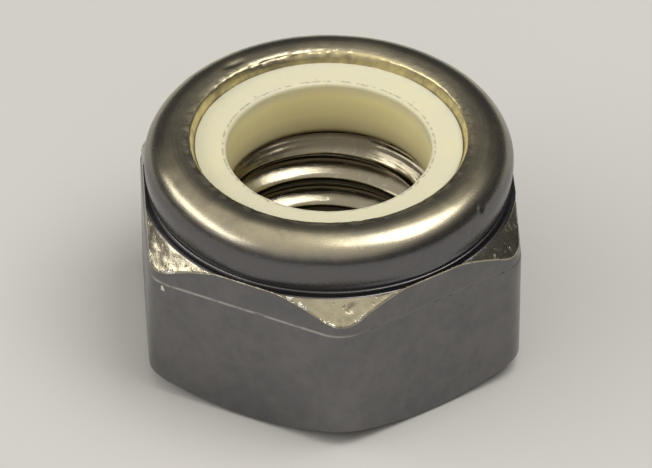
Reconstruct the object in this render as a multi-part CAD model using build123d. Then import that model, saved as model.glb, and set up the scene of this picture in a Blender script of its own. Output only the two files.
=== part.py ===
from build123d import *
import math
import os

# Nylon insert lock nut, M8 x 1.25. Millimetres, +Z up.
# Origin: centre of the bearing face. +Z runs up the thread towards the insert.
# The hexagon has corners on +X and -X, and flats that face +Y and -Y.
# Two pieces: the steel nut, whose collar is rolled in over the insert, and the
# nylon ring that the collar grips.

# ---- hexagon ---------------------------------------------------------------
across_flats = 13.0
corner_rounding = 1.3          # soft vertical corners of a cold-headed blank
nut_height = 8.0               # bearing face to the top of the crown
collar_height = 2.0            # top of the crown down to the shoulder
shoulder_width = 0.30          # flat ring between the collar and the corner facets
upper_cone_angle = 47.0        # fall of the upper corner facets, degrees
bearing_inset = 0.15           # edge of the bearing face, inside the flats
lower_cone_angle = 32.0        # rise of the lower corner facets, degrees
parting_drop = 1.15            # shoulder down to the faint die line across each flat
parting_step = 0.05            # how far the band above that line stands back

# ---- thread ----------------------------------------------------------------
thread_diameter = 8.0
thread_pitch = 1.25
mouth_clearance = 0.25         # thread mouths, outside the thread's major radius
mouth_angle = 30.0             # rise of both thread mouths, degrees

# ---- rolled collar ---------------------------------------------------------
collar_inset = 0.05            # widest part of the collar, inside the flats
collar_wall = 0.85             # wall beside the insert and over it
neck_inset = 0.20              # foot of the collar, inside its widest part
neck_fillet = 0.12
crown_radius = 1.05            # outer roll of the crown
lip_reach = 0.59               # from the top of the crown in to the edge of the lip
lip_drop = 0.06                # how far the lip's edge lies below the top of the crown
lip_lean = 18.0                # end face of the wall, leaning in over the insert, degrees
lip_edge = 0.05                # softened edge of the lip
cavity_bevel = 0.20            # inside corner under the crown

# ---- insert ----------------------------------------------------------------
seat_depth = 2.7               # top of the crown down to the shelf that the insert lies on
lip_stand = 0.35               # how far the lip's edge stands above the insert's outer rim
insert_dish = 0.11             # fall of the insert's top from its outer rim to its bore
insert_bore_radius = 3.55
insert_bevel = 0.15            # broken edges of the insert's bore
insert_clearance = 0.01        # between the insert and the wall that grips it

# ---- worked out from the sizes above ---------------------------------------
half_flats = across_flats / 2
half_corners = half_flats / math.cos(math.radians(30))
bearing_radius = half_flats - bearing_inset
major_radius = thread_diameter / 2
minor_radius = major_radius - 5 / 8 * math.sqrt(3) / 2 * thread_pitch
mouth_radius = major_radius + mouth_clearance
shoulder_height = nut_height - collar_height
parting_height = shoulder_height - parting_drop
seat_height = nut_height - seat_depth
collar_radius = half_flats - collar_inset
neck_radius = collar_radius - neck_inset
shoulder_radius = neck_radius + shoulder_width
crown_middle = (collar_radius - crown_radius, nut_height)
collar_side = (collar_radius, nut_height - crown_radius)
collar_foot = (neck_radius, shoulder_height)
lip_point = (crown_middle[0] - lip_reach, nut_height - lip_drop)
insert_top = lip_point[1] - lip_stand
cavity_radius = collar_radius - collar_wall
cavity_roof = nut_height - collar_wall

DOWN, INWARD, OUTWARD = (0, -1), (-1, 0), (1, 0)
SEATED = (Align.CENTER, Align.CENTER, Align.MIN)


def slope(run, angle):
    """Height gained over a run by a cone that leaves a level face at an angle."""
    return run * math.tan(math.radians(angle))


def lip_face_radius(height):
    """Radius of the collar's end face, which leans in over the insert below the lip's edge."""
    return lip_point[0] - (lip_point[1] - height) * math.tan(math.radians(lip_lean))


def outline(*lines):
    """Face in the X-Y plane, where X is a radius and Y a height, from closed lines."""
    return make_face([edge for line in lines for edge in line.edges()])


def turned(face):
    """Solid turned about Z from a face of radii and heights."""
    return revolve(Plane.XZ * face, Axis.Z)


def trimmed(face, point, cut, amount):
    """Cut the corner of a face that lies at this point, by fillet or by chamfer."""
    corner = face.vertices().sort_by_distance((*point, 0))[0]
    return cut(corner, amount)


def hexagon(flats, bottom, top):
    """Hexagonal prism with soft corners, between two heights."""
    sketch = Plane.XY.offset(bottom) * RegularPolygon(flats / 2, 6, major_radius=False)
    prism = extrude(sketch, top - bottom)
    return fillet(prism.edges().filter_by(Axis.Z), corner_rounding)


def bar():
    """What the nut is cut from: a hexagon with its die line, round above the shoulder."""
    lower = hexagon(across_flats, 0, parting_height)
    upper = hexagon(across_flats - 2 * parting_step, parting_height, shoulder_height)
    collar = Cylinder(half_corners, nut_height - shoulder_height, align=SEATED)
    return lower + upper + Pos(0, 0, shoulder_height) * collar


def turned_outside():
    """Outline of the nut's outside: both corner cones, shoulder, neck, crown and lip."""
    reach = half_corners + 1
    face = outline(
        Polyline(
            (0, lip_point[1]),
            (0, 0),
            (bearing_radius, 0),
            (reach, slope(reach - bearing_radius, lower_cone_angle)),
            (reach, shoulder_height - slope(reach - shoulder_radius, upper_cone_angle)),
            (shoulder_radius, shoulder_height),
            collar_foot,
        ),
        TangentArc(collar_side, collar_foot, tangent=DOWN),
        TangentArc(crown_middle, collar_side, tangent=OUTWARD),
        TangentArc(crown_middle, lip_point, tangent=INWARD),
        Line(lip_point, (0, lip_point[1])),
    )
    return trimmed(face, collar_foot, fillet, neck_fillet)


def insert_room(gap, inner_radius, top, dish=0):
    """Outline of the space round the insert, drawn in by a gap from its walls."""
    wall = cavity_radius - gap
    roof = cavity_roof - gap
    face = outline(Polyline(
        (inner_radius, seat_height),
        (wall, seat_height),
        (wall, roof),
        (lip_face_radius(roof) - gap, roof),
        (lip_face_radius(top) - gap, top),
        (inner_radius, top - dish),
        close=True,
    ))
    return trimmed(face, (wall, roof), chamfer, cavity_bevel)


def thread_hole():
    """Outline of the hole at the thread's minor diameter, opened out at both mouths."""
    mouth = slope(mouth_radius - minor_radius, mouth_angle)
    return outline(Polyline(
        (0, 0),
        (mouth_radius, 0),
        (minor_radius, mouth),
        (minor_radius, seat_height - mouth),
        (mouth_radius, seat_height),
        (0, seat_height),
        close=True,
    ))


def nut_body():
    """Steel nut: hexagon, thread hole and the collar rolled in over its cavity."""
    section = turned_outside() - thread_hole() - insert_room(0, 0, nut_height)
    return turned(trimmed(section, lip_point, fillet, lip_edge)) & bar()


def nylon_insert():
    """Nylon ring on its shelf, dished on top, its outer rim held down under the crown."""
    section = insert_room(insert_clearance, insert_bore_radius, insert_top, insert_dish)
    for height in (seat_height, insert_top - insert_dish):
        section = trimmed(section, (insert_bore_radius, height), chamfer, insert_bevel)
    return turned(section)


def main():
    """Write one STEP file for each piece."""
    os.makedirs("parts", exist_ok=True)
    for node, shape in (("nut_body", nut_body()), ("nylon_insert", nylon_insert())):
        export_step(shape, f"parts/{node}.step")
        size = shape.bounding_box().size
        print(f"{node}: {size.X:.3f} x {size.Y:.3f} x {size.Z:.3f} mm, {shape.volume:.2f} mm3")


if __name__ == "__main__":
    main()
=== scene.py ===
"""Nylon insert lock nut: the steel nut with its cut thread and rolled collar, and the nylon ring in it.

Every length below is in millimetres, and MM turns it into metres. The frame is the CAD part's own: the origin
is the centre of the bearing face and +Z runs up the thread.
"""

import logging
import math
from dataclasses import dataclass, field
from enum import Enum
from functools import cached_property, reduce
from typing import Callable, Optional, Sequence, Union

import bpy
import numpy as np
from mathutils import Matrix, Vector


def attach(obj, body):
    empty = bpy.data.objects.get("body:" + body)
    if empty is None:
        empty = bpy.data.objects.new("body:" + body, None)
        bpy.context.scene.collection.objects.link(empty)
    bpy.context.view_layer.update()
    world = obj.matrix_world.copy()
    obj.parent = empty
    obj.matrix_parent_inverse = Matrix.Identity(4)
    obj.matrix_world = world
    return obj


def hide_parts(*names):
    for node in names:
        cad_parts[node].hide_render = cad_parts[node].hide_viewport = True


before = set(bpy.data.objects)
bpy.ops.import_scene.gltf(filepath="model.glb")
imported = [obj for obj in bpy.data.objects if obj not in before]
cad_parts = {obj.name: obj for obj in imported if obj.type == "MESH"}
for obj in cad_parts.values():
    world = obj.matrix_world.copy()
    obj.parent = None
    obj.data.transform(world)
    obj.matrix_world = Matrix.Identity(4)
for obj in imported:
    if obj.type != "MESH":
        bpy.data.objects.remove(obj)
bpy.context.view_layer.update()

MM = 0.001
PICTURE_WIDTH = 652
SENSOR_WIDTH = 36.0
# Pale colour for painted highlights and glints on the steel.
PAINTED_GLINT = (0.94, 0.91, 0.84)
# Dark brown for painted shade in the thread.
PAINTED_SHADE = (0.045, 0.032, 0.015)
LOG = logging.getLogger("lock_nut")

Pair = tuple[float, float]
Colour = tuple[float, float, float]
Point = tuple[float, float, float]
Term = Union["Wire", float, Sequence[float]]


# ---- shader arithmetic ----


def operator(operation: str, turned: bool = False) -> Callable[["Wire", Term], "Wire"]:
    """Make an operator of Wire: a Math node, or Vector Math where either term is a vector.

    Args:
        operation: Name that both kinds of node give to the operation.
        turned: Whether the other term is the left-hand one.

    Returns:
        The operator.
    """

    def join(wire: "Wire", other: Term) -> "Wire":
        """Join a wire and another term."""
        terms = (other, wire) if turned else (wire, other)
        numbers = all(term.socket.type == "VALUE" for term in terms if isinstance(term, Wire))
        kind = "ShaderNodeMath" if numbers else "ShaderNodeVectorMath"
        return wire.bench.node(kind, {"operation": operation}, dict(enumerate(terms)))

    return join


class Wire:
    """One output of a material's nodes, which takes part in Python expressions."""

    def __init__(self, bench: "Bench", socket: bpy.types.NodeSocket) -> None:
        """Keep the socket and the bench that it belongs to."""
        self.bench = bench
        self.socket = socket

    __add__, __radd__ = operator("ADD"), operator("ADD", turned=True)
    __sub__, __rsub__ = operator("SUBTRACT"), operator("SUBTRACT", turned=True)
    __mul__, __rmul__ = operator("MULTIPLY"), operator("MULTIPLY", turned=True)
    __truediv__, __rtruediv__ = operator("DIVIDE"), operator("DIVIDE", turned=True)
    largest = operator("MAXIMUM")

    def ramp(self, low: float, high: float) -> "Wire":
        """Smooth step from 0 to 1 between two values.

        Args:
            low: Value that gives 0.
            high: Value that gives 1. It may lie below low, which turns the step round.

        Returns:
            A number from 0 to 1.
        """
        settings = {"interpolation_type": "SMOOTHSTEP"}
        return self.bench.node("ShaderNodeMapRange", settings, {"Value": self, "From Min": low, "From Max": high})

    def function(self, operation: str) -> "Wire":
        """A Math operation on this number alone, such as SQRT or ABSOLUTE."""
        return self.bench.node("ShaderNodeMath", {"operation": operation}, {0: self})


class Bench:
    """The nodes of one material or of the world, with a shader at their end."""

    def __init__(self, block: Union[bpy.types.Material, bpy.types.World]) -> None:
        """Clear the nodes that a new material or world starts with.

        Args:
            block: The material or world.
        """
        block.use_nodes = True
        self.block = block
        self.tree = block.node_tree
        self.tree.nodes.clear()

    @cached_property
    def point(self) -> Wire:
        """Place on the surface."""
        return self.node("ShaderNodeTexCoord", output="Object") * (1 / MM, 1 / MM, 1 / MM)

    def node(
        self, kind: str, settings: Optional[dict[str, object]] = None,
        inputs: Optional[dict[Union[str, int], Term]] = None, output: Union[str, int] = 0,
    ) -> Wire:
        """Add a node of any kind.

        Args:
            kind: Blender's name for the kind of node.
            settings: Properties of the node, which are set before its sockets. "stops" gives the places and
                colours of a colour ramp, and "interpolation" its easing.
            inputs: Values or wires for the sockets, by name or number.
            output: Name or number of the output that is wanted.

        Returns:
            The wanted output.
        """
        node = self.tree.nodes.new(kind)
        for name, setting in (settings or {}).items():
            if name == "stops":
                self._set_stops(node.color_ramp, setting)
            else:
                setattr(node.color_ramp if name == "interpolation" else node, name, setting)
        for name, term in (inputs or {}).items():
            self._feed(node.inputs[name], term)
        return Wire(self, node.outputs[output])

    @staticmethod
    def _set_stops(ramp: bpy.types.ColorRamp, stops: Sequence[tuple[float, Colour]]) -> None:
        """Give a colour ramp its stops.

        Args:
            ramp: The ramp.
            stops: Place and colour of each stop.
        """
        while len(ramp.elements) < len(stops):
            ramp.elements.new(1.0)
        for element, (spot, colour) in zip(ramp.elements, stops):
            element.position = spot
            element.color = (*colour, 1.0)

    def _feed(self, socket: bpy.types.NodeSocket, term: Term) -> None:
        """Link a wire to a socket, or set the socket's own value.

        Args:
            socket: The socket.
            term: The wire or value.
        """
        if isinstance(term, Wire):
            self.tree.links.new(term.socket, socket)
        elif socket.type == "VALUE":
            socket.default_value = term
        else:
            values = [term] * 3 if isinstance(term, (int, float)) else list(term)
            socket.default_value = values + [1.0] * (len(socket.default_value) - len(values))

    def noise(self, scale: float, detail: float = 2.0, roughness: float = 0.5, at: Optional[Wire] = None) -> Wire:
        """Smooth noise about 0.5.

        Args:
            scale: Blotches to the millimetre.
            detail: Number of finer layers.
            roughness: Strength of the finer layers.
            at: Where to read the noise, if not at the surface point.

        Returns:
            A number from 0 to 1.
        """
        inputs = {"Vector": at or self.point, "Scale": scale, "Detail": detail, "Roughness": roughness}
        return self.node("ShaderNodeTexNoise", {"noise_dimensions": "3D"}, inputs, "Fac")

    def cells(self, scale: float, at: Optional[Wire] = None) -> Wire:
        """Distance to the nearest of many scattered points.

        Args:
            scale: Points to the millimetre.
            at: Where to read the cells, if not at the surface point.

        Returns:
            0 at a scattered point, and about 0.7 between points.
        """
        inputs = {"Vector": at or self.point, "Scale": scale, "Randomness": 1.0}
        return self.node("ShaderNodeTexVoronoi", {"feature": "F1"}, inputs, "Distance")

    def blend(self, share: Term, first: Term, second: Term) -> Wire:
        """Mix two colours.

        Args:
            share: 0 gives the first colour and 1 the second.
            first: First colour.
            second: Second colour.

        Returns:
            The mixed colour.
        """
        settings = {"data_type": "RGBA"}
        return self.node("ShaderNodeMix", settings, {0: share, 6: first, 7: second}, 2)

    def along(self, axis: str) -> Wire:
        """Distance from the origin along an axis."""
        return self.node("ShaderNodeSeparateXYZ", None, {0: self.point}, axis)

    def radius(self) -> Wire:
        """Distance from the nut's axis."""
        across, along = self.along("X"), self.along("Y")
        return (across * across + along * along).function("SQRT")

    def from_flats(self) -> Wire:
        """Distance from the axis, square to the nearest of the nut's six flats.

        Returns:
            A distance in millimetres.
        """
        across, along = self.along("X") * math.cos(math.pi / 6), self.along("Y") * math.sin(math.pi / 6)
        sides = (self.along("Y"), across + along, across - along)
        return reduce(Wire.largest, [side.function("ABSOLUTE") for side in sides])

    def finish(self, colour: Term, roughness: Term, height: Wire, **uniform: Term) -> bpy.types.Material:
        """Close the material with its shader.

        Args:
            colour: Base colour.
            roughness: Roughness.
            height: Relief of the surface.
            uniform: Sockets that are the same all over, by name with spaces as underscores.

        Returns:
            The finished material.
        """
        normal = self.node("ShaderNodeBump", None, {"Strength": 1.0, "Distance": MM, "Height": height}, "Normal")
        inputs = {name.replace("_", " "): value for name, value in uniform.items()}
        inputs |= {"Base Color": colour, "Roughness": roughness, "Normal": normal}
        self.close("ShaderNodeOutputMaterial", self.node("ShaderNodeBsdfPrincipled", None, inputs, "BSDF"))
        return self.block

    def close(self, kind: str, shader: Wire) -> None:
        """Link a shader to a new output node of the kind given."""
        self.tree.links.new(shader.socket, self.tree.nodes.new(kind).inputs["Surface"])


# ---- mesh making ----


@dataclass(frozen=True)
class Lumps:
    """Smooth random hollows in space, the same on every run.

    Attributes:
        seed: Number that fixes them.
        size: Size of a hollow, or its size along each axis.
        depth: Depth of the deepest.
    """

    CELLS = 32

    seed: int
    size: Union[float, Point]
    depth: float = 1.0

    def at(self, points: np.ndarray) -> np.ndarray:
        """Depth of the hollows at points.

        Args:
            points: Array whose last axis is a place in millimetres.

        Returns:
            One depth to a point, from 0 up.
        """
        table = np.random.default_rng(self.seed).random((self.CELLS,) * 3)
        scaled = points / np.asarray(self.size)
        base = np.floor(scaled).astype(int)
        part = scaled - base
        part = part * part * (3 - 2 * part)
        total = np.zeros(points.shape[:-1])
        for corner in np.ndindex(2, 2, 2):
            index = (base + corner) % self.CELLS
            share = np.where(np.array(corner) == 1, part, 1 - part).prod(axis=-1)
            total += share * table[index[..., 0], index[..., 1], index[..., 2]]
        return self.depth * total


class Zone(Enum):
    """Parts of the surface that were made in different ways, by the number of their finish."""

    DRAWN = 0
    FACET = 1
    ROLLED = 2
    CUT = 3
    LIP = 4


Reach = Union[float, np.ndarray]


@dataclass(frozen=True)
class Bend:
    """A point that the outline of a turned form passes through.

    Attributes:
        radius: Distance from the axis, which may differ round the form.
        height: Height, which may differ round the form.
        softness: Length taken off both sides of a rounded corner.
        steps: Rows of faces round the corner.
        rows: Rows of faces on the run to the next point.
        zone: How the run to the next point was made.
    """

    radius: Reach
    height: Reach
    softness: float = 0.0
    steps: int = 0
    rows: int = 1
    zone: Zone = Zone.DRAWN


@dataclass
class Skin:
    """Rows of points round the axis, with the zone of the faces after each row."""

    LONGEST_CORNER = 0.45  # share of a side that a rounded corner may take off
    SHORTEST_NORMAL = 1e-9

    points: np.ndarray
    zones: list[Zone]

    @staticmethod
    def around(angles: np.ndarray, radius: np.ndarray, height: np.ndarray) -> np.ndarray:
        """Places in space from angles, radii and heights."""
        return np.stack([radius * np.cos(angles), radius * np.sin(angles), height], axis=-1)

    @classmethod
    def trace(cls, angles: np.ndarray, bends: Sequence[Bend]) -> "Skin":
        """Lay rows along an outline, with its corners rounded.

        Args:
            angles: Angles of the columns.
            bends: Points of the outline, in order.

        Returns:
            The skin between the first point and the last.
        """
        places = [np.stack(np.broadcast_arrays(b.radius, b.height, angles)[:2], axis=-1) for b in bends]
        rows: list[np.ndarray] = []
        zones: list[Zone] = []
        for index, bend in enumerate(bends):
            here = places[index]
            corner = [here]
            if bend.steps:
                sides = [cls._back_along(here, places[(index + way) % len(places)], bend.softness) for way in (-1, 1)]
                corner = cls._round(sides[0], here, sides[1], bend.steps)
            if rows:
                last, start = bends[index - 1], rows[-1]
                run = range(1, last.rows)
                rows.extend(start + (corner[0] - start) * step / last.rows for step in run)
                zones.extend(last.zone for _ in run)
            rows.extend(corner)
            zones.extend(bend.zone for _ in corner)
        grid = np.stack(rows)
        return cls(cls.around(angles, grid[..., 0], grid[..., 1]), zones)

    @classmethod
    def _back_along(cls, here: np.ndarray, there: np.ndarray, softness: float) -> np.ndarray:
        """Find where a rounded corner leaves one of its sides.

        Args:
            here: The corner.
            there: The side's other end.
            softness: Length that the rounding takes off the side, where the side is long enough.

        Returns:
            The place on the side.
        """
        side = there - here
        length = np.linalg.norm(side, axis=-1, keepdims=True)
        return here + side / length * np.minimum(softness, cls.LONGEST_CORNER * length)

    @staticmethod
    def _round(before: np.ndarray, corner: np.ndarray, after: np.ndarray, steps: int) -> list[np.ndarray]:
        """Points of a curve that leaves both sides of a corner smoothly."""
        shares = [step / steps for step in range(steps + 1)]
        return [(1 - s) ** 2 * before + 2 * s * (1 - s) * corner + s * s * after for s in shares]

    def mask(self, zone: Zone) -> np.ndarray:
        """1 on the rows of a zone and 0 on the others."""
        return np.array([row is zone for row in self.zones], float)[:, None]

    def hollow(self, depth: np.ndarray) -> None:
        """Move each point into the form along the surface normal.

        Args:
            depth: How far each point moves in, which is never below 0.
        """
        along = np.gradient(self.points, axis=0)
        closed = np.concatenate([self.points[:, -1:], self.points, self.points[:, :1]], axis=1)
        across = (closed[:, 2:] - closed[:, :-2]) / 2
        normal = np.cross(across, along)
        normal /= np.maximum(np.linalg.norm(normal, axis=-1, keepdims=True), self.SHORTEST_NORMAL)
        self.points = self.points - normal * np.maximum(depth, 0.0)[..., None]


class Shell:
    """A closed mesh put together from skins that share their edges."""

    WELD = 1e-5
    WELD_SHIFT = 0.317  # keeps round sizes off the edges of the weld's grid

    def __init__(self) -> None:
        """Start with nothing."""
        self.points: list[np.ndarray] = []
        self.faces: list[np.ndarray] = []
        self.zones: list[np.ndarray] = []
        self.count = 0

    def add(self, points: np.ndarray, zones: Sequence[Zone], joined: bool) -> None:
        """Add rows of points with faces between them.

        Args:
            points: Rows by columns by place.
            zones: Zone of the faces after each row.
            joined: Whether the last column has faces to the first.
        """
        rows, columns = points.shape[:2]
        index = np.arange(rows * columns).reshape(rows, columns) + self.count
        left, right = index, np.roll(index, -1, axis=1)
        if not joined:
            left, right = left[:, :-1], right[:, :-1]
        faces = np.stack([left[:-1], right[:-1], right[1:], left[1:]], axis=-1)
        self.points.append(points.reshape(-1, 3))
        self.faces.append(faces.reshape(-1, 4))
        self.zones.append(np.repeat([zone.value for zone in zones[: rows - 1]], faces.shape[1]))
        self.count += rows * columns

    def mesh(self, name: str) -> bpy.types.Mesh:
        """Weld the skins into one mesh.

        Args:
            name: Name of the mesh.

        Returns:
            A smooth closed mesh in metres, whose faces are numbered by zone.
        """
        points, faces = np.concatenate(self.points), np.concatenate(self.faces)
        zones = np.concatenate(self.zones)
        keys = np.floor(points / self.WELD + self.WELD_SHIFT).astype(np.int64)
        _, first, weld = np.unique(keys, axis=0, return_index=True, return_inverse=True)
        faces = weld.reshape(-1)[faces]
        kept: list[list[int]] = []
        numbers: list[int] = []
        for face, zone in zip(faces.tolist(), zones.tolist()):
            ring = [corner for place, corner in enumerate(face) if corner != face[place - 1]]
            if len(set(ring)) == len(ring) > 2:
                kept.append(ring)
                numbers.append(zone)
        mesh = bpy.data.meshes.new(name)
        mesh.from_pydata((points[first] * MM).tolist(), [], kept)
        mesh.polygons.foreach_set("material_index", numbers)
        mesh.polygons.foreach_set("use_smooth", [True] * len(kept))
        mesh.update()
        return mesh


def place(name: str, mesh: bpy.types.Mesh) -> bpy.types.Object:
    """Put a mesh into the scene at the origin.

    Args:
        name: Name of the piece.
        mesh: Its mesh.

    Returns:
        The piece.
    """
    piece = bpy.data.objects.new(name, mesh)
    bpy.context.scene.collection.objects.link(piece)
    triangles = sum(len(face.vertices) - 2 for face in mesh.polygons)
    LOG.info("%s: %d vertices, %d triangles", name, len(mesh.vertices), triangles)
    return piece


def arc(start: Pair, end: Pair, centre: Pair, rows: int, zone: Zone) -> list[Bend]:
    """Points of an arc about a centre, without its last point.

    Args:
        start: Radius and height of its start.
        end: Radius and height of its end.
        centre: Radius and height of its centre.
        rows: Rows of faces along it.
        zone: How it was made.

    Returns:
        The points in order.
    """
    size = math.dist(start, centre)
    turns = [math.atan2(point[1] - centre[1], point[0] - centre[0]) for point in (start, end)]
    angles = [turns[0] + (turns[1] - turns[0]) * row / rows for row in range(rows)]
    return [Bend(centre[0] + size * math.cos(a), centre[1] + size * math.sin(a), zone=zone) for a in angles]


# ---- finishes ----


@dataclass
class Coat:
    """Colour, roughness and relief of a surface, built up layer on layer."""

    bench: Bench
    tone: Wire
    rough: Wire
    relief: Wire

    def lay(self, share: Wire, colour: Colour, strength: float, rough: float = 0.0, relief: Term = 0.0) -> None:
        """Lay one more layer.

        Args:
            share: How much of each place it covers, from 0 to 1.
            colour: Its colour.
            strength: How far it hides the colour under it.
            rough: Roughness that it adds.
            relief: Height that it adds.
        """
        self.tone = self.bench.blend(share * strength, self.tone, colour)
        if rough:
            self.rough = self.rough + share * rough
        if relief:
            self.relief = self.relief + share * relief


@dataclass(frozen=True)
class SteelFinish:
    """Stainless steel as one step of the making leaves it.

    A pair of radii or heights says where a layer starts and where it is full.

    Attributes:
        name: Name of the material.
        pale: Colour of the clean metal, set darker or paler in some zones as painted reflection.
        roughness: Roughness of the clean metal.
        clouding: Strength of the cloudy patches.
        dull_and_shade: Colour of the clouded patches of metal, and of the painted dark band.
        stain: Colour in pits and scratches.
        turning: Depth of the marks that run round the axis.
        turning_scale: Marks to the millimetre.
        pits: Depth of the pits.
        pit_scale: Pits to the millimetre.
        pit_share: Share of the surface in pits.
        grain: Depth of the fine grain.
        grain_scale: Grains to the millimetre.
        scratches: Depth of the scratches.
        film_and_shade: Heights over which the metal is painted darker downwards, as a painted dark reflection.
        line: Height of a line painted bright as a highlight.
        thread_shade: Radii of a thread's roots, radii of its crests and heights of its mouth, where it is painted
            dark as shade.
        browner_below: Heights over which the colour turns browner downwards.
        brink: Distances of the flats from the axis where the edge along them is worn and painted bright with glints.
        brink_side: Distances along Y where those painted glints are strong.
        worn: Radii and heights of a rubbed band.
        marks: Bruises painted bright as glints, each with its place and radius in millimetres.
    """

    name: str
    pale: Colour
    roughness: float
    clouding: float
    dull_and_shade: Colour = (0.135, 0.133, 0.145)
    stain: Colour = (0.13, 0.10, 0.06)
    turning: float = 0.0
    turning_scale: float = 14.0
    pits: float = 0.0
    pit_scale: float = 4.0
    pit_share: float = 0.2
    grain: float = 0.001
    grain_scale: float = 22.0
    scratches: float = 0.0
    film_and_shade: Optional[Pair] = None
    line: Optional[float] = None
    thread_shade: Optional[tuple[Pair, Pair, Pair]] = None
    browner_below: Optional[Pair] = None
    brink: Optional[Pair] = None
    brink_side: Pair = (-5.4, -6.3)
    worn: Optional[tuple[Pair, Pair]] = None
    marks: tuple[tuple[Point, float], ...] = ()

    def material(self) -> bpy.types.Material:
        """Build the material from its layers.

        Returns:
            The material.
        """
        bench = Bench(bpy.data.materials.new(self.name))
        radius, height = bench.radius(), bench.along("Z")
        cloud = bench.noise(0.55, 3.0, 0.6)
        # Blotches for the clouded patches, which also break the edge of the painted dark band.
        film_and_shade = bench.noise(2.1, 4.0, 0.65)
        ring_place = bench.node("ShaderNodeCombineXYZ", None, {0: radius, 1: height, 2: cloud * 0.35})
        rings = bench.noise(self.turning_scale, 3.0, 0.7, ring_place)
        wobble = bench.node("ShaderNodeTexNoise", None, {"Vector": bench.point, "Scale": 3.0}, "Color")
        wobble = bench.point + wobble * 0.4
        coat = Coat(
            bench,
            bench.blend((cloud * 0.6 + film_and_shade * 0.6).ramp(0.42, 0.78) * self.clouding, self.pale, self.dull_and_shade),
            self.roughness + (film_and_shade - 0.5) * 0.2 * self.clouding,
            rings * self.turning + bench.noise(self.grain_scale, 3.0, 0.65) * self.grain,
        )
        # Painted dark reflection: the metal turns to the clouded dark colour down the collar's side.
        if self.film_and_shade:
            shade_band = (height + (cloud - 0.5) * 0.5 + (film_and_shade - 0.5) * 0.3).ramp(*self.film_and_shade)
            coat.lay(shade_band, self.dull_and_shade, 0.95)
        if self.turning:
            coat.rough = coat.rough + (rings - 0.5) * 0.12
        if self.pits:
            edge = 0.62 * self.pit_share ** 0.5
            pits = bench.cells(self.pit_scale, wobble).ramp(edge, edge * 0.45) * film_and_shade.ramp(0.40, 0.62)
            coat.lay(pits, self.stain, 0.45, 0.12, -self.pits)
        if self.scratches:
            slant = {"Vector": bench.point, "Rotation": (0.5, 0.3, 0.9), "Scale": (0.35, 9.0, 9.0)}
            slant = bench.node("ShaderNodeMapping", None, slant)
            scratches = bench.noise(1.3, 2.0, 0.5, slant).ramp(0.70, 0.735)
            coat.lay(scratches * film_and_shade.ramp(0.5, 0.6), self.pale, 0.2, relief=-self.scratches)
        # Painted highlight: a pale line along the die line's small ledge.
        if self.line is not None:
            line = (height - self.line).function("ABSOLUTE").ramp(0.06, 0.02) * film_and_shade.ramp(0.2, 0.5)
            coat.lay(line, PAINTED_GLINT, 0.2, 0.15)
        if self.thread_shade:
            # Tool chatter streaks, painted pale as small glints.
            streaks = bench.node("ShaderNodeMapping", None, {"Vector": wobble, "Scale": (1, 1, 0.15)})
            chatter = bench.noise(3.4, 2.0, 0.6, streaks).ramp(0.56, 0.66) * film_and_shade.ramp(0.4, 0.6)
            coat.lay(chatter, PAINTED_GLINT, 0.18, relief=0.0015)
            # Painted shade: the thread's roots, its crests and its mouth under the ring are darkened.
            roots, crests, mouth = (at.ramp(*pair) for at, pair in zip((radius, radius, height), self.thread_shade))
            coat.relief = coat.relief + mouth * bench.noise(4.5, 1.0, 0.5, ring_place) * 0.05
            coat.lay((roots.largest(crests) * 0.9).largest(mouth * 0.62), PAINTED_SHADE, 1.0)
        # The colour turns browner towards the bottom.
        if self.browner_below:
            coat.lay(height.ramp(*self.browner_below) * film_and_shade.ramp(0.35, 0.6), self.stain, 0.35)
        if self.worn:
            worn = radius.ramp(*self.worn[0]) * height.ramp(*self.worn[1]) * film_and_shade.ramp(0.42, 0.6)
            coat.lay(worn, self.pale, 0.5, 0.12, bench.noise(6.0, 3.0, 0.6) * 0.01)
        # Painted glints on bruises, burrs and worn edges.
        bruise_and_glint = self._bruises_and_glints(bench)
        if bruise_and_glint:
            coat.rough = coat.rough.largest(bruise_and_glint * 0.42)
            coat.lay(bruise_and_glint, PAINTED_GLINT, 0.8, relief=bench.noise(7.0, 2.0, 0.6) * 0.05)
        return bench.finish(coat.tone, coat.rough.largest(0.1), coat.relief, Metallic=1.0)

    def _bruises_and_glints(self, bench: Bench) -> Optional[Wire]:
        """Find where the metal is painted bright as glints on bruises, burrs and worn edges.

        Args:
            bench: Nodes of the material.

        Returns:
            How much of each place is bruised, or None where nothing is.
        """
        shares: list[Wire] = []
        # Small bruises and burrs painted bright as glints.
        for spot, size in self.marks:
            gap = bench.node("ShaderNodeVectorMath", {"operation": "DISTANCE"}, {0: bench.point, 1: spot}, "Value")
            shares.append((gap / size + (bench.noise(7.0, 3.0, 0.6) - 0.5) * 3.0).ramp(1.1, 0.8))
        # Worn facet edges with painted glints, strongest on the -Y side, which faces the camera.
        if self.brink:
            edge = bench.from_flats().ramp(*self.brink) * bench.noise(3.2, 3.0, 0.6).ramp(0.5, 0.6)
            shares.append(edge * (bench.along("Y").ramp(*self.brink_side) * 0.9 + 0.1))
        return reduce(Wire.largest, shares) if shares else None


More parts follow.
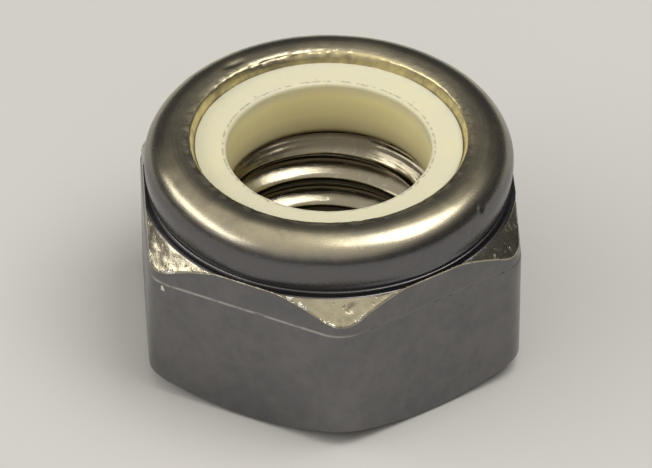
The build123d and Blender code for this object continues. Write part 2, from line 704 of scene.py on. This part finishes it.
@dataclass(frozen=True)
class NylonFinish:
    """Cream nylon, smooth on top and waxy in the bore.

    Attributes:
        name: Name of the material.
        bore: Colour of the yellower clouds.
        shade: Colour of the painted shade in the gap under the lip.
        stops: Colours from the top down the bore's wall to its foot, by share of the height: painted shade, palest a
            little below the rim and darker towards the foot.
        speck: Colour of the specks at the bore's edge.
        rim_radius: Radius of the line of specks.
        lip_radius: Radius at which the gap's shade starts.
        top_height: Height of the top.
        foot_height: Height of the wall's foot.
    """

    name: str
    rim_radius: float
    lip_radius: float
    top_height: float
    foot_height: float
    bore: Colour = (0.86, 0.77, 0.44)
    shade: Colour = (0.16, 0.115, 0.05)
    stops: tuple[tuple[float, Colour], ...] = (
        (0.05, (0.69, 0.67, 0.505)),
        (0.14, (0.84, 0.79, 0.53)),
        (0.25, (0.97, 0.89, 0.50)),
        (0.62, (0.82, 0.735, 0.41)),
        (0.88, (0.56, 0.495, 0.28)),
        (1.00, (0.15, 0.105, 0.045)),
    )
    speck: Colour = (0.12, 0.11, 0.095)

    def material(self) -> bpy.types.Material:
        """Build the material.

        Returns:
            The material.
        """
        bench = Bench(bpy.data.materials.new(self.name))
        radius, height = bench.radius(), bench.along("Z")
        cloud = bench.noise(0.5, 2.0)
        ripple = bench.noise(2.4, 3.0, 0.55)
        fine = bench.noise(16.0, 3.0, 0.6)
        deep = (self.top_height - height) / (self.top_height - self.foot_height)
        # Painted shade down the bore's wall, palest a little below the rim.
        wall = bench.node("ShaderNodeValToRGB", {"stops": self.stops}, {0: deep + (cloud - 0.5) * 0.12}, "Color")
        tone = bench.blend(cloud.ramp(0.45, 0.8) * 0.25, wall, self.bore)
        # Painted shade in the gap under the steel lip.
        gap = (radius + (ripple - 0.5) * 0.07).ramp(self.lip_radius, self.lip_radius + 0.08)
        tone = bench.blend(gap * 0.9, tone, self.shade)
        line = (radius - self.rim_radius + (ripple - 0.5) * 0.05).function("ABSOLUTE").ramp(0.05, 0.015)
        level = height.ramp(self.top_height - 0.3, self.top_height - 0.2)
        broken = bench.noise(4.0, 3.0, 0.75).ramp(0.42, 0.58)
        specks = bench.cells(3.2).ramp(0.22, 0.11) * bench.noise(1.3, 1.0).ramp(0.5, 0.62)
        specks = specks * (radius - self.rim_radius).ramp(0.25, 0.0)
        dust = (line * broken * 0.5).largest(specks * 0.8) * level
        tone = bench.blend(dust, tone, self.speck)
        relief = ripple * 0.012 + fine * 0.0025 - dust * 0.002
        rough = 0.42 + (ripple - 0.5) * 0.2 + fine * 0.06
        return bench.finish(
            tone, rough, relief, Subsurface_Weight=0.45, Subsurface_Radius=(1.0, 0.8, 0.45),
            Subsurface_Scale=0.7 * MM, IOR=1.53, Specular_IOR_Level=0.5,
        )


@dataclass(frozen=True)
class FloorFinish:
    """Plain pale board under the nut."""

    name: str = "pale_board"
    colour: Colour = (0.60, 0.60, 0.595)
    dapple: float = 0.985

    def material(self) -> bpy.types.Material:
        """Build the material.

        Returns:
            The material.
        """
        bench = Bench(bpy.data.materials.new(self.name))
        grain = bench.noise(3.0, 2.0)
        tone = bench.blend(grain, tuple(self.dapple * part for part in self.colour), self.colour)
        return bench.finish(tone, 0.75, grain * 0.002, Specular_IOR_Level=0.2)


# ---- the steel nut ----


@dataclass
class Hexagon:
    """A hexagon with corners on +X and -X."""

    flats: float
    rounding: float

    def reach(self, angles: np.ndarray) -> np.ndarray:
        """Distance from the axis to the hexagon's side.

        Args:
            angles: Angles from +X, in radians.

        Returns:
            One distance to an angle.
        """
        turn = np.abs((angles + math.pi / 6) % (math.pi / 3) - math.pi / 6)
        flat = self.flats / 2 / np.cos(math.pi / 6 - turn)
        middle = (self.flats / 2 - self.rounding) / math.cos(math.pi / 6)
        inside = self.rounding ** 2 - (middle * np.sin(turn)) ** 2
        corner = middle * np.cos(turn) + np.sqrt(np.maximum(inside, 0.0))
        tangent = math.atan2(self.rounding / 2, middle + self.rounding * math.cos(math.pi / 6))
        return np.where(turn < tangent, corner, flat)


@dataclass
class Nick:
    """A small hollow knocked into the steel, at a place in millimetres from the origin."""

    place: Point
    width: float
    depth: float

    @classmethod
    def stroke(cls, start: Point, end: Point, count: int, width: float, depth: float) -> list["Nick"]:
        """Nicks that run together into a scratch.

        Args:
            start: One end of the scratch.
            end: The other end.
            count: Number of nicks.
            width: Width of each.
            depth: Depth of the deepest.

        Returns:
            The nicks, deepest in the middle.
        """
        shares = np.linspace(0.0, 1.0, count)
        places = np.outer(1 - shares, start) + np.outer(shares, end)
        depths = depth * (0.35 + 0.65 * np.sin(math.pi * shares))
        return [cls(tuple(spot), width, float(deep)) for spot, deep in zip(places, depths)]


@dataclass
class SteelNut:
    """Hexagon nut with a cut thread and a collar rolled in over the ring's room.

    Sizes are measured from the axis and from the bearing face, and a pair of them is a radius and a height.
    """

    columns: int = 480
    across_flats: float = 13.0
    corner_rounding: float = 1.3
    bearing_radius: float = 6.35
    lower_cone: float = 32.0
    upper_cone: float = 47.0
    facet_drop: float = 0.002
    shoulder_radius: float = 6.55
    shoulder: float = 6.0
    die_line: float = 4.85
    die_step: float = 0.05
    die_slope: float = 0.03
    neck: Pair = (6.25, 6.0)
    side: Pair = (6.45, 6.95)
    side_centre: Pair = (4.09375, 6.95)
    crown: Pair = (5.4, 8.0)
    crown_centre: Pair = (5.4, 6.95)
    lip: Pair = (4.81, 7.94)
    lip_centre: Pair = (5.4, 5.0692)
    lip_lean: float = 18.0
    roof: float = 7.15
    room_radius: float = 5.6
    shelf: float = 5.3
    crest_radius: float = 3.40
    major_radius: float = 4.0
    mouth_radius: float = 4.25
    mouth_land: float = 0.06
    mouth_guard: float = 0.1
    mouth_angle: float = 30.0
    upper_mouth_angle: float = 47.0
    pitch: float = 1.25
    thread_rows: int = 16
    thread_turn: float = 0.285
    thread_spare: float = 0.6
    crest_share: float = 0.10
    flank_share: float = 0.36
    roundness: float = 0.15
    torn: Lumps = Lumps(11, (0.3, 0.3, 0.12), 0.012)
    bead_angle: float = 135.0
    bead_spread: float = 30.0
    bead_depths: Pair = (0.02, 0.08)
    bead_outward: float = 0.02
    bead_width: float = 0.07
    bead_drop: float = 0.12
    beads: Lumps = Lumps(8, 0.17)
    waves: dict[Zone, tuple[Lumps, ...]] = field(default_factory=lambda: {
        Zone.FACET: (Lumps(5, 0.45, 0.02), Lumps(8, 0.2, 0.008)),
        Zone.ROLLED: (Lumps(3, 1.6, 0.012), Lumps(5, (0.8, 0.8, 0.5), 0.010)),
        **dict.fromkeys((Zone.DRAWN, Zone.CUT, Zone.LIP), (Lumps(3, 2.2, 0.010), Lumps(5, 0.7, 0.004))),
    })
    chips: Lumps = Lumps(8, 0.2, 0.03)
    chips_radius: float = 7.0
    chips_spread: float = 0.25
    nicks: list[Nick] = field(default_factory=lambda: [
        Nick((-3.22, -6.47, 4.64), 0.16, 0.09),
        Nick((0.53, -6.49, 4.80), 0.10, 0.05),
        Nick((2.11, -6.45, 5.31), 0.08, 0.05),
        Nick((6.23, -0.85, 7.49), 0.12, 0.05),
        Nick((6.24, -1.59, 6.97), 0.11, 0.05),
        Nick((5.54, -3.21, 6.52), 0.12, 0.05),
        *Nick.stroke((-4.95, 1.80, 7.96), (-4.62, 2.45, 7.98), 6, 0.08, 0.06),
        *Nick.stroke((1.31, -6.50, 1.12), (1.36, -6.50, 0.70), 9, 0.035, 0.025),
        *Nick.stroke((1.36, -6.50, 0.70), (1.52, -6.50, 0.42), 8, 0.035, 0.02),
        *Nick.stroke((6.05, -2.50, 1.75), (6.40, -1.90, 1.10), 12, 0.04, 0.03),
        Nick((3.73, -5.72, 5.73), 0.16, 0.06),
    ])

    def build(self) -> None:
        """Make the nut and dress it."""
        angles = np.arange(self.columns) * (2 * math.pi / self.columns)
        outside = Skin.trace(angles, self._outline(angles))
        outside.hollow(self._wear(outside))
        shell = Shell()
        shell.add(outside.points, outside.zones, joined=True)
        thread = self._thread(angles)
        shell.add(thread, [Zone.CUT] * len(thread), joined=False)
        piece = place("steel_nut", shell.mesh("steel_nut"))
        self._dress(piece)
        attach(piece, "root")
        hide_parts("nut_body")

    def _outline(self, angles: np.ndarray) -> list[Bend]:
        """Draw the outline, from the lower mouth round the outside to the upper mouth.

        Args:
            angles: Angles of the columns.

        Returns:
            The points of the outline.
        """
        lower = Hexagon(self.across_flats, self.corner_rounding).reach(angles)
        upper = Hexagon(self.across_flats - 2 * self.die_step, self.corner_rounding).reach(angles)
        foot = (lower - self.bearing_radius) * math.tan(math.radians(self.lower_cone))
        rise = np.maximum(upper - self.shoulder_radius, 0.0) * math.tan(math.radians(self.upper_cone))
        brow = self.shoulder - rise - self.facet_drop
        facet_edge = np.minimum(upper, self.shoulder_radius)
        return [
            Bend(self.mouth_radius, 0.0),
            Bend(self.mouth_radius + self.mouth_land, 0.0, rows=4),
            Bend(self.bearing_radius, 0.0, softness=0.06, steps=3, rows=3),
            Bend(lower, foot, softness=0.07, steps=4, rows=12),
            Bend(lower, self.die_line - self.die_slope, softness=0.03, steps=2),
            Bend(upper, self.die_line + self.die_slope, softness=0.03, steps=2, rows=5),
            Bend(upper, brow, softness=0.06, steps=4, rows=9, zone=Zone.FACET),
            Bend(facet_edge, self.shoulder, softness=0.05, steps=3, rows=2, zone=Zone.ROLLED),
            Bend(*self.neck, softness=0.12, steps=5, rows=2, zone=Zone.ROLLED),
            *arc(self.neck, self.side, self.side_centre, 10, Zone.ROLLED)[2:],
            *arc(self.side, self.crown, self.crown_centre, 16, Zone.ROLLED),
            *arc(self.crown, self.lip, self.lip_centre, 7, Zone.ROLLED)[:-1],
            Bend(*self.lip, softness=0.09, steps=5, rows=7, zone=Zone.LIP),
            Bend(self._lip_face(self.roof), self.roof, softness=0.05, steps=2, rows=2, zone=Zone.CUT),
            Bend(self.room_radius, self.roof, softness=0.2, steps=3, rows=3, zone=Zone.CUT),
            Bend(self.room_radius, self.shelf, softness=0.05, steps=2, rows=3, zone=Zone.CUT),
            Bend(self.mouth_radius, self.shelf, zone=Zone.CUT),
        ]

    def _lip_face(self, height: float) -> float:
        """Radius of the collar's end face, which leans in over the ring below the lip's edge."""
        return self.lip[0] - (self.lip[1] - height) * math.tan(math.radians(self.lip_lean))

    def _wear(self, skin: Skin) -> np.ndarray:
        """Work out the hollows that making and handling left on the outside.

        Args:
            skin: The outside.

        Returns:
            One depth to a point.
        """
        points = skin.points
        radius = np.linalg.norm(points[..., :2], axis=-1)
        edge = np.exp(-(((radius - self.chips_radius) / self.chips_spread) ** 2))
        depth = self._beads(points, radius) + skin.mask(Zone.FACET) * edge * self.chips.at(points)
        for zone, layers in self.waves.items():
            depth = depth + skin.mask(zone) * sum(layer.at(points) for layer in layers)
        for nick in self.nicks:
            gap = np.linalg.norm(points - np.array(nick.place), axis=-1)
            depth = depth + nick.depth * np.exp(-((gap / nick.width) ** 2))
        return np.where(radius < self.mouth_radius + self.mouth_guard, 0.0, depth)

    def _beads(self, points: np.ndarray, radius: np.ndarray) -> np.ndarray:
        """Work out the small hammered beads on the lip's edge, deepest at one angle.

        Args:
            points: Rows of points on the outside.
            radius: Their distances from the axis.

        Returns:
            One depth to a point.
        """
        turn = np.degrees(np.arctan2(points[..., 1], points[..., 0]))
        share = np.exp(-(((turn - self.bead_angle) / self.bead_spread) ** 2))
        off = (radius - self.lip[0] - self.bead_outward) / self.bead_width
        near = np.exp(-(off ** 2)) * (points[..., 2] > self.lip[1] - self.bead_drop)
        return (self.bead_depths[0] + self.bead_depths[1] * share) * near * self.beads.at(points)

    def _thread(self, angles: np.ndarray) -> np.ndarray:
        """Cut the thread as rows that climb with it, from the upper mouth down to the lower one.

        Args:
            angles: Angles of the columns.

        Returns:
            Rows by columns by place.
        """
        spare, turn = self.thread_spare / self.pitch, self.thread_turn
        first = math.ceil((self.shelf / self.pitch + spare - turn) * self.thread_rows) - 1
        last = math.floor((-1 - spare - turn) * self.thread_rows)
        steps = np.arange(first, last, -1) / self.thread_rows
        climb = np.append(angles, 2 * math.pi) / (2 * math.pi)
        height = (steps[:, None] + climb[None] + turn) * self.pitch
        cut = np.abs((steps + 0.5) % 1.0 - 0.5)
        share = np.clip((cut - self.crest_share) / self.flank_share, 0.0, 1.0)
        share = (1 - self.roundness) * share + self.roundness * (1 - np.cos(2 * math.pi * cut)) / 2
        radius = (self.crest_radius + (self.major_radius - self.crest_radius) * share)[:, None] + 0 * height
        height = np.clip(height, 0.0, self.shelf)
        for angle, depth in ((self.mouth_angle, height), (self.upper_mouth_angle, self.shelf - height)):
            radius = np.maximum(radius, self.mouth_radius - depth / math.tan(math.radians(angle)))
        around = np.append(angles, 0.0)
        torn = self.torn.at(Skin.around(around, radius, height))
        ends = (height <= 0.0) | (height >= self.shelf)
        return Skin.around(around, np.where(ends, radius, radius + torn), height)

    def _dress(self, piece: bpy.types.Object) -> None:
        """Give each zone its finish.

        Args:
            piece: The nut.
        """
        flat, crest = self.across_flats / 2, self.crest_radius
        finishes = {
            # The drawn flats get a much darker metal colour than the other steel: painted dark reflection.
            Zone.DRAWN: SteelFinish(
                "drawn_steel", (0.19, 0.185, 0.187), 0.26, 0.45, dull_and_shade=(0.12, 0.12, 0.135), grain=0.0008,
                scratches=0.003, line=self.die_line, marks=((self.nicks[0].place, 0.10),),
            ),
            Zone.FACET: SteelFinish(
                "hammered_steel", (0.53, 0.485, 0.355), 0.27, 0.3, pits=0.010, pit_share=0.25, grain=0.009,
                grain_scale=6.0, browner_below=(5.75, 5.3), brink=(flat - 0.21, flat - 0.09),
            ),
            Zone.ROLLED: SteelFinish(
                "rolled_steel", (0.53, 0.48, 0.345), 0.27, 0.45, turning=0.0026, turning_scale=13.0, grain=0.0008,
                scratches=0.0015, film_and_shade=(7.88, 7.22), worn=((5.2, 4.95), (7.7, 7.9)),
            ),
            Zone.CUT: SteelFinish(
                "cut_steel", (0.36, 0.33, 0.25), 0.17, 0.15, turning=0.002, turning_scale=20.0,
                thread_shade=((3.72, 3.95), (crest + 0.04, crest + 0.01), (4.35, 4.75)),
            ),
            # The lip's end face gets a paler, yellower metal colour: painted reflection of the nylon.
            Zone.LIP: SteelFinish(
                "lip_steel", (0.82, 0.72, 0.42), 0.32, 0.7, turning=0.002, grain=0.004, grain_scale=8.0,
            ),
        }
        for zone in Zone:
            piece.data.materials.append(finishes[zone].material())


# ---- the nylon ring ----


@dataclass
class NylonRing:
    """Ring of nylon on its shelf, with its outer rim under the rolled collar."""

    columns: int = 360
    bore_radius: float = 3.55
    foot: float = 5.3
    rim: float = 7.48
    brim: float = 7.59
    brim_radius: float = 4.686
    wall_radius: float = 5.59
    roof: float = 7.14
    roof_radius: float = 4.54
    edge: float = 0.17
    foot_bevel: Pair = (0.08, 0.12)
    foot_guard: float = 0.05
    specks_in: float = 0.15
    shade_in: float = 0.05
    ragged: Lumps = Lumps(21, 0.35, 0.01)
    waves: tuple[Lumps, ...] = (Lumps(31, 1.1, 0.018), Lumps(32, 0.4, 0.008))

    def build(self) -> None:
        """Make the ring and dress it."""
        angles = np.arange(self.columns) * (2 * math.pi / self.columns)
        skin = Skin.trace(angles, self._outline(angles))
        skin.hollow(self._wear(skin))
        shell = Shell()
        shell.add(np.concatenate([skin.points, skin.points[:1]]), [Zone.DRAWN] * len(skin.points), joined=True)
        piece = place("nylon_ring", shell.mesh("nylon_ring"))
        specks, shade = self.bore_radius + self.specks_in, self.brim_radius - self.shade_in
        finish = NylonFinish("cream_nylon", specks, shade, self.rim, self.foot)
        piece.data.materials.append(finish.material())
        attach(piece, "root")
        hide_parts("nylon_insert")

    def _outline(self, angles: np.ndarray) -> list[Bend]:
        """Draw the outline, from the bore's foot round the outside to the bore's edge.

        Args:
            angles: Angles of the columns.

        Returns:
            The points of the outline.
        """
        ragged = self.ragged.at(Skin.around(angles, self.bore_radius + 0 * angles, 0 * angles))
        return [
            Bend(self.bore_radius + self.foot_bevel[0], self.foot, rows=4),
            Bend(self.wall_radius, self.foot, softness=0.1, steps=3, rows=4),
            Bend(self.wall_radius, self.roof, softness=0.2, steps=4, rows=3),
            Bend(self.roof_radius, self.roof, softness=0.03, steps=2, rows=4),
            Bend(self.brim_radius, self.brim, softness=0.05, steps=4, rows=14),
            Bend(self.bore_radius + ragged, self.rim - ragged, softness=self.edge, steps=9, rows=12),
            Bend(self.bore_radius, self.foot + self.foot_bevel[1], softness=0.05, steps=2),
        ]

    def _wear(self, skin: Skin) -> np.ndarray:
        """Work out the shallow waves that moulding and pressing left.

        Args:
            skin: The surface of the ring.

        Returns:
            One depth to a point.
        """
        waves = sum(wave.at(skin.points) for wave in self.waves)
        return np.where(skin.points[..., 2] < self.foot + self.foot_guard, 0.0, waves)


# ---- the studio ----


def facing(angle: float, rise: float) -> Vector:
    """Direction from its angle round the nut from +X and its height, both in degrees."""
    turn, lift = math.radians(angle), math.radians(rise)
    return Vector((math.cos(lift) * math.cos(turn), math.cos(lift) * math.sin(turn), math.sin(lift)))


@dataclass
class Softbox:
    """A square lamp that faces the nut.

    Attributes:
        name: Name of the lamp.
        bearing: Direction to it from the nut, in degrees round from the camera, to the right.
        rise: Height of that direction, in degrees.
        away: Distance from the nut.
        size: Width and height.
        glow: Brightness of its face, where 1 is white.
        colour: Tint.
        aim: Height of the place that it faces.
    """

    name: str
    bearing: float
    rise: float
    away: float
    size: Pair
    glow: float
    colour: Colour = (1.0, 0.97, 0.92)
    aim: float = 6.0

    def build(self, camera_angle: float) -> None:
        """Hang the lamp.

        Args:
            camera_angle: Angle of the camera round the nut from +X, in degrees.
        """
        way = facing(camera_angle + self.bearing, self.rise)
        light = bpy.data.lights.new(self.name, "AREA")
        light.shape = "RECTANGLE"
        light.size, light.size_y = (side * MM for side in self.size)
        light.energy = self.glow * math.pi * light.size * light.size_y
        light.color = self.colour
        lamp = bpy.data.objects.new(self.name, light)
        lamp.location = Vector((0.0, 0.0, self.aim * MM)) + way * (self.away * MM)
        lamp.rotation_euler = way.to_track_quat("Z", "Y").to_euler()
        bpy.context.scene.collection.objects.link(lamp)


@dataclass
class Studio:
    """Pale floor, soft lamps and the camera."""

    floor_radius: float = 1600.0
    floor_sides: int = 96
    floor_drop: float = 0.002
    camera_azimuth: float = 26.38
    camera_elevation: float = 38.64
    camera_distance: float = 220.0
    camera_roll: float = -0.03
    camera_shift: Pair = (0.10, 0.35)
    aim_height: float = 4.0
    focal_pixels: float = 6268.16
    clip: Pair = (0.005, 20.0)
    horizon: Colour = (0.05, 0.052, 0.06)
    zenith: Colour = (0.81, 0.77, 0.69)
    dome_bearing: float = -30.0
    dome_rise: float = 70.0
    dome_edge: Pair = (0.25, 0.82)
    lamps: list[Softbox] = field(default_factory=lambda: [
        Softbox("right_box", 86.0, 66.0, 170.0, (112.0, 110.0), 4.1),
        Softbox("left_box", -86.0, 32.0, 190.0, (205.0, 42.0), 4.3),
    ])

    @property
    def camera_angle(self) -> float:
        """Angle of the camera round the nut from +X, in degrees."""
        return self.camera_azimuth - 90.0

    def build(self) -> None:
        """Lay the floor, hang the lamps, light the world and set the camera."""
        self._floor()
        for lamp in self.lamps:
            lamp.build(self.camera_angle)
        self._world()
        self._camera()

    def _floor(self) -> None:
        """Lay a wide round floor at the bearing face."""
        angles = np.arange(self.floor_sides) * (2 * math.pi / self.floor_sides)
        rim = Skin.around(angles, self.floor_radius + 0 * angles, 0 * angles - self.floor_drop)
        mesh = bpy.data.meshes.new("pale_floor")
        mesh.from_pydata((rim * MM).tolist(), [], [list(range(len(rim)))])
        mesh.update()
        floor = place("pale_floor", mesh)
        mesh.materials.append(FloorFinish().material())

    def _world(self) -> None:
        """Light the room softly, brighter overhead than at the horizon."""
        world = bpy.data.worlds.new("soft_room")
        bpy.context.scene.world = world
        bench = Bench(world)
        way = facing(self.camera_angle + self.dome_bearing, self.dome_rise)
        look = bench.node("ShaderNodeTexCoord", output="Generated")
        toward = bench.node("ShaderNodeVectorMath", {"operation": "DOT_PRODUCT"}, {0: look, 1: way}, "Value")
        ramp = {"interpolation": "EASE", "stops": list(zip(self.dome_edge, (self.horizon, self.zenith)))}
        tone = bench.node("ShaderNodeValToRGB", ramp, {0: toward}, "Color")
        bench.close("ShaderNodeOutputWorld", bench.node("ShaderNodeBackground", None, {"Color": tone}, "Background"))

    def _camera(self) -> None:
        """Set the camera, aimed at the middle of the nut."""
        turns = ((self.camera_azimuth, "Z"), (90.0 - self.camera_elevation, "X"), (self.camera_roll, "Z"))
        swing, tilt, roll = (Matrix.Rotation(math.radians(angle), 4, axis) for angle, axis in turns)
        aim = Matrix.Translation(Vector((0.0, 0.0, self.aim_height)) * MM)
        back = Matrix.Translation(Vector((-self.camera_shift[0], -self.camera_shift[1], self.camera_distance)) * MM)
        data = bpy.data.cameras.new("camera")
        data.sensor_fit = "HORIZONTAL"
        data.sensor_width = SENSOR_WIDTH
        data.lens = self.focal_pixels / PICTURE_WIDTH * SENSOR_WIDTH
        data.clip_start, data.clip_end = self.clip
        camera = bpy.data.objects.new("camera", data)
        camera.matrix_world = swing @ aim @ tilt @ roll @ back
        bpy.context.scene.collection.objects.link(camera)
        bpy.context.scene.camera = camera


def main() -> None:
    """Build the nut, its ring and the studio."""
    logging.basicConfig(level=logging.INFO, format="%(name)s %(message)s")
    bpy.context.scene.view_settings.view_transform = "Standard"
    SteelNut().build()
    NylonRing().build()
    Studio().build()


if __name__ == "__main__":
    main()
